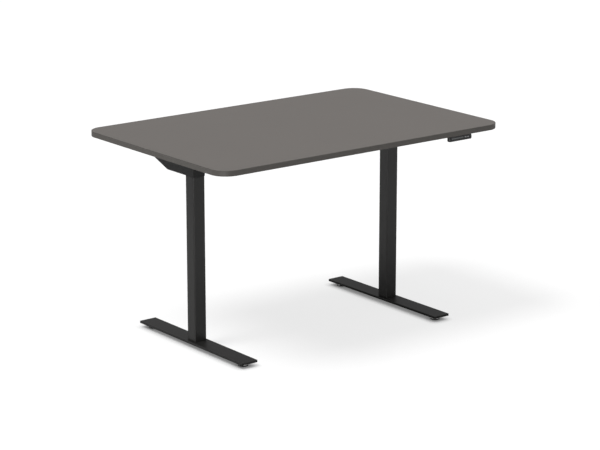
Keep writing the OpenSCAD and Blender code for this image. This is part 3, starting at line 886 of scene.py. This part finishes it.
@dataclass
class Beams:
    """The two beams between the arms, with the weld beads on their end plates."""

    bead: float = 1.7 * MM
    ripple: float = 0.35 * MM
    pitch: float = 2.6 * MM
    plate: float = 5 * MM
    nodes: tuple[str, str] = ("beam_front", "beam_rear")
    width: float = 25 * MM
    height: float = 40 * MM

    def build(self, paint: Paintbox) -> None:
        """Dress both beams and weld on their end plates."""
        for node in self.nodes:
            dress_node(paint, node, 1.0 * MM)
            beads = [self._bead(node, side) for side in Side]
            weld = mesh_piece(f"{node}_welds", merged(beads))
            paint.paint(weld, "black_powder")
            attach(weld, "top")
        LOG.info("beams: %d, each with two weld beads", len(self.nodes))

    def _bead(self, node: str, side: Side) -> bmesh.types.BMesh:
        """Return the bead that runs round the beam where it meets one end plate.

        Args:
            node: the beam.
            side: the end of the beam.

        Returns:
            The new mesh.
        """
        low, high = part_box(node)
        mid_y, mid_z = (low.y + high.y) / 2, (low.z + high.z) / 2
        x = side.value * (high.x - self.plate)
        plan = rounded_outline(
            mid_y - self.width / 2, mid_y + self.width / 2,
            mid_z - self.height / 2, mid_z + self.height / 2, 1.5 * MM, 3,
        )
        rings = []
        walked = 0.0
        path = dense_loop(plan, self.pitch / 4)
        for i, (y, z) in enumerate(path):
            y0, z0 = path[i - 1]
            walked += math.hypot(y - y0, z - z0)
            y1, z1 = path[(i + 1) % len(path)]
            along = Vector((y1 - y0, z1 - z0)).normalized()
            outward = Vector((along.y, -along.x))
            size = self.bead + self.ripple * math.cos(2 * math.pi * walked / self.pitch)
            turns = (2 * math.pi * k / 8 for k in range(8))
            rings.append([
                (x + size * math.sin(a) * 0.8, y + size * math.cos(a) * outward.x * 0.7,
                 z + size * math.cos(a) * outward.y * 0.7)
                for a in turns
            ])
        return loft(rings, closed=True)


def dense_loop(outline: Outline, step: float) -> Outline:
    """Return a closed outline with points no further apart than a step.

    Args:
        outline: the closed outline.
        step: the longest distance wanted.

    Returns:
        The same outline, with more points.
    """
    dense = []
    for (x0, y0), (x1, y1) in zip(outline, outline[1:] + outline[:1]):
        pieces = max(1, round(math.hypot(x1 - x0, y1 - y0) / step))
        dense += [(x0 + (x1 - x0) * i / pieces, y0 + (y1 - y0) * i / pieces)
                  for i in range(pieces)]
    return dense


class Drive(Enum):
    """The recess in a screw's head."""

    HEX = 6
    CROSS = 4


@dataclass
class Screw:
    """A screw with a domed head and a recess for its key or driver."""

    head_r: float
    head_h: float
    shank_r: float
    length: float
    drive: Drive
    steps: int = 24

    def mesh(self, place: Vector, axis: Axis) -> bmesh.types.BMesh:
        """Make the screw.

        Args:
            place: the centre of the face that the head's underside bears on.
            axis: the direction in which the head looks.

        Returns:
            The new mesh.
        """
        dome = self.head_h
        rows = [(self.shank_r * 0.6, -self.length), (self.shank_r, -self.length + self.shank_r)]
        rows += [(self.shank_r, 0.0), (self.head_r * 0.97, 0.0), (self.head_r, dome * 0.15)]
        rows += [
            (self.head_r * (0.62 + 0.38 * math.cos(a)), dome * (0.35 + 0.65 * math.sin(a)))
            for a in (math.radians(20 * k) for k in range(1, 5))
        ]
        bm = bmesh.new()
        rings = [[bm.verts.new(self._round(r, k, z)) for k in range(self.steps)] for r, z in rows]
        recess = self.head_r * 0.5
        for depth in (dome, dome * 0.35):
            rings.append([bm.verts.new(self._key(recess, k, depth)) for k in range(self.steps)])
        for lower, upper in zip(rings, rings[1:]):
            for i in range(self.steps):
                j = (i + 1) % self.steps
                bm.faces.new((lower[i], lower[j], upper[j], upper[i]))
        bm.faces.new(reversed(rings[0]))
        bm.faces.new(rings[-1])
        bmesh.ops.transform(bm, verts=bm.verts, matrix=Matrix.Translation(place) @ axis.turn())
        return bm

    def _round(self, radius: float, k: int, z: float) -> Point:
        """Return point k on a ring of the screw."""
        a = 2 * math.pi * k / self.steps
        return radius * math.cos(a), radius * math.sin(a), z

    def _key(self, radius: float, k: int, z: float) -> Point:
        """Return point k on the recess's outline, a hexagon or a cross."""
        a = 2 * math.pi * k / self.steps
        if self.drive is Drive.HEX:
            part = math.pi / 3
            reach = radius * math.cos(part / 2) / math.cos(a % part - part / 2)
        else:
            reach = radius * (0.42 + 0.58 * abs(math.cos(2 * a)) ** 3)
        return reach * math.cos(a), reach * math.sin(a), z


@dataclass
class Fasteners:
    """Every screw of the desk, each where its CAD solid is."""

    wood_head_h: float = 2.7 * MM
    bolt_head_h: float = 3.0 * MM
    leg_bolt_span: float = 12.5 * MM
    wood_shank: float = 0.55
    bolt_shank: float = 0.6

    def build(self, paint: Paintbox) -> None:
        """Make the groups of screws, dress them and stand them in for their nodes."""
        for node in ("top_screws", "control_screws", "handset_screws"):
            self._group(paint, node, [self._wood(box) for box in solid_boxes(node)])
        frame_boxes = solid_boxes("frame_screws")
        self._group(paint, "frame_screws", [self._bolt(box) for box in frame_boxes])
        dress_node(paint, "foot_screws", 0.3 * MM)
        LOG.info("fasteners: %d frame screws", len(frame_boxes))

    def _group(self, paint: Paintbox, node: str, parts: list[bmesh.types.BMesh]) -> None:
        """Join screws into one piece that stands for their node.

        Args:
            paint: the finishes.
            node: the CAD node of the screws.
            parts: the screws, which are freed.
        """
        piece = mesh_piece(f"{node}_turned", merged(parts))
        even_shading(piece)
        paint.paint(piece, slot_of(node))
        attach(piece, "top")
        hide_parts(node)

    def _wood(self, box: tuple[Vector, Vector]) -> bmesh.types.BMesh:
        """Return a wood screw that is driven upwards, with its head at the bottom.

        Args:
            box: the lowest and highest corner of its CAD solid.

        Returns:
            The new mesh.
        """
        low, high = box
        centre = (low + high) / 2
        place = Vector((centre.x, centre.y, low.z + self.wood_head_h))
        head_r = (high.x - low.x) / 2
        screw = Screw(
            head_r, self.wood_head_h, head_r * self.wood_shank, high.z - place.z, Drive.CROSS
        )
        return screw.mesh(place, Axis.DOWN)

    def _bolt(self, box: tuple[Vector, Vector]) -> bmesh.types.BMesh:
        """Return a frame screw along X, with its head on the side that its solid has it.

        Args:
            box: the lowest and highest corner of its CAD solid.

        Returns:
            The new mesh.
        """
        low, high = box
        centre = (low + high) / 2
        head_r = (high.z - low.z) / 2
        inward = 1 if centre.x < 0 else -1
        is_leg_bolt = high.x - low.x > self.leg_bolt_span
        towards = inward if is_leg_bolt else -inward
        end = high.x if towards > 0 else low.x
        place = Vector((end - towards * self.bolt_head_h, centre.y, centre.z))
        length = (high.x - low.x) - self.bolt_head_h
        axis = Axis.RIGHTWARD if towards > 0 else Axis.LEFTWARD
        screw = Screw(head_r, self.bolt_head_h, head_r * self.bolt_shank, length, Drive.HEX)
        return screw.mesh(place, axis)


@dataclass
class ControlBox:
    """The control box under the top, with its plate, mains socket and cable glands."""

    pin: Vector = field(default_factory=lambda: Vector((11 * MM, 2 * MM, 4 * MM)))
    pin_places: tuple[tuple[float, float], ...] = (
        (-7 * MM, -2 * MM), (0.0, 2 * MM), (7 * MM, -2 * MM),
    )
    gland_y: float = 120 * MM
    gland_z: float = 673 * MM
    gland_len: float = 11 * MM
    gland_flange: float = 5.6 * MM
    gland_neck: float = 4.6 * MM
    gland_groove: float = 4.0 * MM
    gland_taper: float = 0.25 * MM
    gland_mouth: float = 3.1 * MM
    gland_ribs: int = 4

    def build(self, paint: Paintbox) -> None:
        """Dress the box and its plate and make the pins and glands."""
        for node, radius in (("control_box", 1.0), ("control_lid", 0.8), ("mains_inlet", 0.4)):
            dress_node(paint, node, radius * MM)
        self._pins(paint)
        for side in Side:
            self._gland(paint, side)
        LOG.info("control box: %d pins, 2 glands", len(self.pin_places))

    def _pins(self, paint: Paintbox) -> None:
        """Plate the three pins of the mains socket."""
        low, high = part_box("mains_inlet")
        skin = 0.15 * MM
        root = low.x + 3 * MM
        blades = []
        for y, z in self.pin_places:
            mid = Vector((root, (low.y + high.y) / 2 + y, (low.z + high.z) / 2 + z))
            half = Vector((0, self.pin.y / 2 + skin, self.pin.z / 2 + skin))
            blades.append(box_mesh(mid - half, mid + half + Vector((self.pin.x - 1.7 * MM, 0, 0))))
        pins = mesh_piece("mains_pins", merged(blades), smooth=False)
        soften(pins, 0.35 * MM)
        paint.paint(pins, "bright_steel")
        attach(pins, "top")

    def _gland(self, paint: Paintbox, side: Side) -> None:
        """Make the ribbed bush where a motor cable enters the box.

        Args:
            paint: the finishes.
            side: the side of the box.
        """
        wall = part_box("control_box")[0 if side is Side.LEFT else 1].x
        profile = [
            (0.0, -1 * MM), (self.gland_flange, -1 * MM), (self.gland_flange, 1.6 * MM),
            (self.gland_neck, 2.2 * MM),
        ]
        for k in range(self.gland_ribs):
            z = (2.6 + 2.1 * k) * MM
            groove = self.gland_groove - k * self.gland_taper
            profile += [(self.gland_neck - k * self.gland_taper, z), (groove, z + 0.7 * MM),
                        (groove, z + 1.3 * MM)]
        profile += [(self.gland_mouth, self.gland_len), (0.0, self.gland_len)]
        bm = lathe(profile, 32)
        axis = Axis.LEFTWARD if side is Side.LEFT else Axis.RIGHTWARD
        place = Matrix.Translation((wall, self.gland_y, self.gland_z))
        bmesh.ops.transform(bm, verts=bm.verts, matrix=place @ axis.turn())
        gland = mesh_piece(side.node("cable_gland"), bm)
        even_shading(gland)
        paint.paint(gland, "black_nylon")
        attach(gland, "top")


@dataclass
class Handset:
    """The slim handset under the front edge, with two keys and a smoked window."""

    bar_depth: float = 18 * MM
    corner: float = 8 * MM
    belly: float = 4.2 * MM
    brow: tuple[tuple[float, float], ...] = (
        (0.0, 11 * MM), (1.2 * MM, 3.5 * MM), (1.8 * MM, 2.9 * MM), (3 * MM, 0.0),
    )
    tail_height: float = 8 * MM
    tail_inset: float = 12 * MM
    tail_corner: float = 5 * MM
    tail_edge: float = 1.5 * MM
    gap: float = 0.3 * MM
    key_corner: float = 1.1 * MM
    key_edge: float = 0.6 * MM
    key_dish: float = 0.25 * MM
    arrow: float = 2.4 * MM
    low: Vector = field(default_factory=lambda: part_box("handset_case")[0])
    high: Vector = field(default_factory=lambda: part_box("handset_case")[1])

    def build(self, paint: Paintbox) -> None:
        """Make the case and the keys and dress the window."""
        self._case(paint)
        dress_node(paint, "display_window", 0.35 * MM)
        for node, points_up in (("button_up", True), ("button_down", False)):
            self._key(paint, node)
            self._arrow(paint, node, points_up)
        LOG.info("handset: bar %.0f mm wide, 2 keys", (self.high.x - self.low.x) / MM)

    def _bar(self) -> bmesh.types.BMesh:
        """Return the bar, with a rounded belly and a leaning face."""
        rear = self.low.y + self.bar_depth
        levels = []
        for k in range(7):
            a = math.radians(15 * k)
            height = self.low.z + self.belly * (1 - math.cos(a))
            levels.append((self.belly * (1 - math.sin(a)), 0.0, height))
        levels += [(0.0, lean, self.high.z - drop) for lean, drop in self.brow]
        rings = []
        for inset, lean, z in levels:
            plan = rounded_outline(
                self.low.x + inset, self.high.x - inset, self.low.y + inset + lean,
                rear - inset, max(self.corner - inset, 3.5 * MM), 10,
            )
            rings.append([(x, y, z) for x, y in plan])
        return loft(rings)

    def _tail(self) -> bmesh.types.BMesh:
        """Return the flat tail that is screwed to the board."""
        bottom = self.high.z - self.tail_height
        rings = []
        for inset, z in ((self.tail_edge, bottom), (self.tail_edge * 0.3, bottom + 0.45 * MM),
                         (0.0, bottom + self.tail_edge), (0.0, self.high.z)):
            plan = rounded_outline(
                self.low.x + self.tail_inset + inset, self.high.x - self.tail_inset - inset,
                self.low.y + self.bar_depth / 2, self.high.y - inset, self.tail_corner, 6,
            )
            rings.append([(x, y, z) for x, y in plan])
        return loft(rings)

    def _case(self, paint: Paintbox) -> None:
        """Join the bar and the tail, then cut the openings."""
        case = mesh_piece("handset_shell", self._bar())
        carve(case, self._tail(), "UNION")
        for tool in self._openings():
            carve(case, tool, "DIFFERENCE")
        rim = case.modifiers.new("rim", "BEVEL")
        rim.width = 0.25 * MM
        rim.segments = 2
        rim.limit_method = "ANGLE"
        rim.angle_limit = math.radians(50)
        even_shading(case)
        paint.paint(case, "handset_plastic")
        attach(case, "top")
        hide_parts("handset_case")

    def _openings(self) -> list[bmesh.types.BMesh]:
        """Return the tools that cut the pockets and holes of the case."""
        tools = []
        for node, depth in (("button_up", 1.2 * MM), ("button_down", 1.2 * MM),
                            ("display_window", 0.05 * MM)):
            low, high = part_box(node)
            room = Vector((self.gap, 0, self.gap))
            tools.append(box_mesh(low - room - Vector((0, 2 * MM, 0)),
                                  high + room + Vector((0, depth, 0))))
        for low, high in solid_boxes("handset_screws"):
            centre = (low + high) / 2
            radius = (high.x - low.x) / 2 + 0.2 * MM
            hole = lathe([(0.0, self.low.z), (radius, self.low.z),
                          (radius, low.z + 2.7 * MM), (0.0, low.z + 2.7 * MM)], 32)
            bmesh.ops.translate(hole, verts=hole.verts, vec=(centre.x, centre.y, 0))
            tools.append(hole)
        return tools

    def _key(self, paint: Paintbox, node: str) -> None:
        """Mould one key cap, rounded at its front and dished for a fingertip.

        Args:
            paint: the finishes.
            node: the CAD node of the key.
        """
        low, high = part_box(node)
        levels = [
            (self.key_edge * (1 - math.sin(a)), low.y + self.key_edge * (1 - math.cos(a)))
            for a in (math.radians(18 * k) for k in range(6))
        ]
        levels = [(self.key_edge * 2.2, low.y + self.key_dish), *levels, (0.0, high.y)]
        rings = []
        for inset, y in levels:
            face = rounded_outline(low.x + inset, high.x - inset, low.z + inset, high.z - inset,
                                   max(self.key_corner - inset, 0.3 * MM), 6)
            rings.append([(x, y, z) for x, z in face])
        cap = mesh_piece(f"{node}_cap", loft(rings))
        even_shading(cap)
        paint.paint(cap, "button_grey")
        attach(cap, node.replace("button", "key"))
        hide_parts(node)

    def _arrow(self, paint: Paintbox, node: str, points_up: bool) -> None:
        """Print a small triangle on the face of a key.

        Args:
            paint: the finishes.
            node: the CAD node of the key.
            points_up: whether the triangle points up.
        """
        low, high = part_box(node)
        mid_x, mid_z = (low.x + high.x) / 2, (low.z + high.z) / 2
        way = 1 if points_up else -1
        half = self.arrow / 2
        front, back = low.y + self.key_dish - 0.04 * MM, low.y + self.key_dish + 0.2 * MM
        corners = [(-half, -half * 0.7), (half, -half * 0.7), (0.0, half * 0.8)]
        rings = [[(mid_x + x, y, mid_z + way * z) for x, z in corners] for y in (front, back)]
        mark = mesh_piece(f"{node}_arrow", loft(rings), smooth=False)
        paint.paint(mark, "arrow_print")
        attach(mark, node.replace("button", "key"))


@dataclass
class Cables:
    """The cables that run under the top, held by clips."""

    motor_route: tuple[Point, ...] = (
        (-422.5, 122, 667), (-422.5, 136, 667), (-416, 147, 667), (-404, 150, 667),
        (-390, 150, 668), (-366, 150, 676), (-336, 150, 685), (-310, 150, 686),
        (-260, 150, 686), (-210, 150, 686), (-190, 149, 685), (-164, 131, 678),
        (-144, 120, 673), (-125, 120, 673),
    )
    handset_route: tuple[Point, ...] = (
        (380, -341.3, 687), (380, -300, 687), (380, -260, 687), (380, -200, 687),
        (380, -135, 687), (379, -108, 687), (371, -78, 687), (353, -50, 687),
        (327, -29, 687), (300, -19, 687), (270, -18, 687), (180, -18, 687),
        (108, -18, 687), (92, -17, 687), (66, -5, 686), (44, 14, 682),
        (34, 38, 676), (32, 64, 673),
    )
    motor_r: float = 3.0 * MM
    handset_r: float = 2.2 * MM

    def build(self, paint: Paintbox) -> None:
        """Make the three cables and dress the clips."""
        for side in Side:
            route = [Vector((-side.value * x, y, z)) * MM for x, y, z in self.motor_route]
            self._cable(paint, side.node("motor_cable"), route, self.motor_r)
        route = [Vector(p) * MM for p in self.handset_route]
        self._cable(paint, "handset_cable", route, self.handset_r)
        dress_node(paint, "cable_clips", 0.6 * MM)
        LOG.info("cables: 3")

    def _cable(self, paint: Paintbox, node: str, points: list[Vector], radius: float) -> None:
        """Sweep one cable along its route and stand it in for its node.

        Args:
            paint: the finishes.
            node: the CAD node of the cable.
            points: the points of the route.
            radius: the radius of the cable.
        """
        route = smooth_route(points, 8)
        piece = mesh_piece(f"{node}_round", tube(route, lambda _: radius, 20))
        paint.paint(piece, "cable_jacket")
        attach(piece, "top")
        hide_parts(node)


# ---------------------------------------------------------------- studio


@dataclass
class Studio:
    """Camera, lights, floor and surroundings."""

    camera_place: Point = (-4.5705, -5.9094, 2.3534)
    heading: float = 37.85
    dip: float = 14.96
    lens: float = 133.25
    floor_half: float = 30.0
    floor_grey: Colour = (0.4, 0.4, 0.4)
    floor_lift: float = 0.45
    floor_glow: float = 1.6
    painted_shadow_reach: float = 26 * MM
    key_way: Point = (-0.40, 0.05, 0.71)
    key_power: float = 3.0
    key_spread: float = 23.0

    def build(self) -> None:
        """Set up everything that isn't part of the desk."""
        self._camera()
        self._floor()
        self._world()
        self._key()
        self._area("fill", (2.2, -4.2, 3.0), (0, 0, 0.5), (3.0, 3.0), 38.0)
        self._area("kicker", (-3.9, -3.1, 0.35), (0, 0, 0.3), (0.5, 0.4), 48.0)
        LOG.info("studio: lens %.0f mm", self.lens)

    def _camera(self) -> None:
        """Place the camera, level side to side and dipped towards the desk."""
        data = bpy.data.cameras.new("camera")
        data.sensor_width = 36.0
        data.lens = self.lens
        data.clip_end = 200.0
        camera = bpy.data.objects.new("camera", data)
        camera.location = self.camera_place
        tilt = math.radians(90 - self.dip)
        camera.rotation_euler = (tilt, 0.0, -math.radians(self.heading))
        bpy.context.scene.collection.objects.link(camera)
        bpy.context.scene.camera = camera

    def _floor(self) -> None:
        """Lay a pale floor, with a glow that only the camera sees, darkened by ambient occlusion
        into a painted contact shadow near the feet, clear from underneath.
        """
        h = self.floor_half
        bm = bmesh.new()
        drop = -0.2 * MM
        bm.faces.new([bm.verts.new((x, y, drop)) for x, y in ((-h, -h), (h, -h), (h, h), (-h, h))])
        floor = mesh_piece("studio_floor", bm, smooth=False)
        made = bpy.data.materials.new("studio_floor")
        made.use_nodes = True
        made.node_tree.nodes.clear()
        sketch = Sketch(made.node_tree)
        path = sketch.add("ShaderNodeLightPath").outputs["Is Camera Ray"]
        matte = sketch.add("ShaderNodeBsdfDiffuse", {"Color": (*self.floor_grey, 1.0)})
        # ambient occlusion dims the glow near the desk: a painted contact shadow under and beside
        # the feet
        painted_contact_shadow = sketch.add(
            "ShaderNodeAmbientOcclusion", {"Distance": self.painted_shadow_reach}, samples=8
        )
        values = {"Color": painted_contact_shadow.outputs["Color"], "Strength": self.floor_glow}
        glow = sketch.add("ShaderNodeEmission", values)
        lift = sketch.maths("MULTIPLY", path, self.floor_lift)
        pale = sketch.add("ShaderNodeMixShader", {0: lift, 1: matte.outputs[0], 2: glow.outputs[0]})
        below = sketch.add("ShaderNodeNewGeometry").outputs["Backfacing"]
        clear = sketch.add("ShaderNodeBsdfTransparent")
        faces = {0: below, 1: pale.outputs[0], 2: clear.outputs[0]}
        both = sketch.add("ShaderNodeMixShader", faces)
        sketch.add("ShaderNodeOutputMaterial", {"Surface": both.outputs[0]})
        floor.data.materials.append(made)

    def _world(self) -> None:
        """Surround the desk with a studio that is bright overhead and dim at the horizon."""
        world = bpy.data.worlds.new("studio")
        world.use_nodes = True
        world.node_tree.nodes.clear()
        sketch = Sketch(world.node_tree)
        way = sketch.add("ShaderNodeTexCoord").outputs["Generated"]
        height = sketch.add("ShaderNodeSeparateXYZ", {0: way}).outputs["Z"]
        ramp = sketch.add("ShaderNodeValToRGB", {0: height})
        ramp.color_ramp.elements[0].position = 0.2
        ramp.color_ramp.elements[0].color = (0.16, 0.16, 0.164, 1.0)
        ramp.color_ramp.elements[1].position = 0.85
        ramp.color_ramp.elements[1].color = (1.0, 1.0, 1.0, 1.0)
        lit = sketch.add("ShaderNodeBackground", {"Color": ramp.outputs["Color"], "Strength": 0.9})
        seen = sketch.add("ShaderNodeBackground", {"Color": (1.0, 1.0, 1.0, 1.0)})
        path = sketch.add("ShaderNodeLightPath").outputs["Is Camera Ray"]
        both = sketch.add("ShaderNodeMixShader", {0: path, 1: lit.outputs[0], 2: seen.outputs[0]})
        sketch.add("ShaderNodeOutputWorld", {"Surface": both.outputs[0]})
        bpy.context.scene.world = world
        bpy.context.scene.view_settings.view_transform = "Standard"

    def _key(self) -> None:
        """Light the desk evenly from the upper left, with soft shadows."""
        data = bpy.data.lights.new("key", "SUN")
        data.energy = self.key_power
        data.angle = math.radians(self.key_spread)
        self._hang(data, Vector(self.key_way) * 5, Vector())

    def _area(self, name: str, place: Point, aim: Point, size: tuple[float, float],
              power: float) -> None:
        """Add a soft box, or a low kicker that reaches the glides under the feet.

        Args:
            name: the light's name.
            place: where it hangs.
            aim: the point that it looks at.
            size: its width and height.
            power: its power, in watts.
        """
        data = bpy.data.lights.new(name, "AREA")
        data.shape = "RECTANGLE"
        data.size, data.size_y = size
        data.energy = power
        self._hang(data, Vector(place), Vector(aim))

    @staticmethod
    def _hang(data: bpy.types.Light, place: Vector, aim: Vector) -> None:
        """Hang a light at a place, looking at a point."""
        light = bpy.data.objects.new(data.name, data)
        light.visible_camera = False
        light.location = place
        light.rotation_euler = (aim - place).to_track_quat("-Z", "Y").to_euler()
        bpy.context.scene.collection.objects.link(light)


def main() -> None:
    """Build the studio, then each sub-assembly in order."""
    logging.basicConfig(level=logging.INFO, format="%(name)s: %(message)s")
    Studio().build()
    paint = Paintbox()
    Board().build(paint)
    for side in Side:
        Leg(side).build(paint)
    Beams().build(paint)
    Fasteners().build(paint)
    ControlBox().build(paint)
    Handset().build(paint)
    Cables().build(paint)
    bpy.context.view_layer.update()


if __name__ == "__main__":
    main()
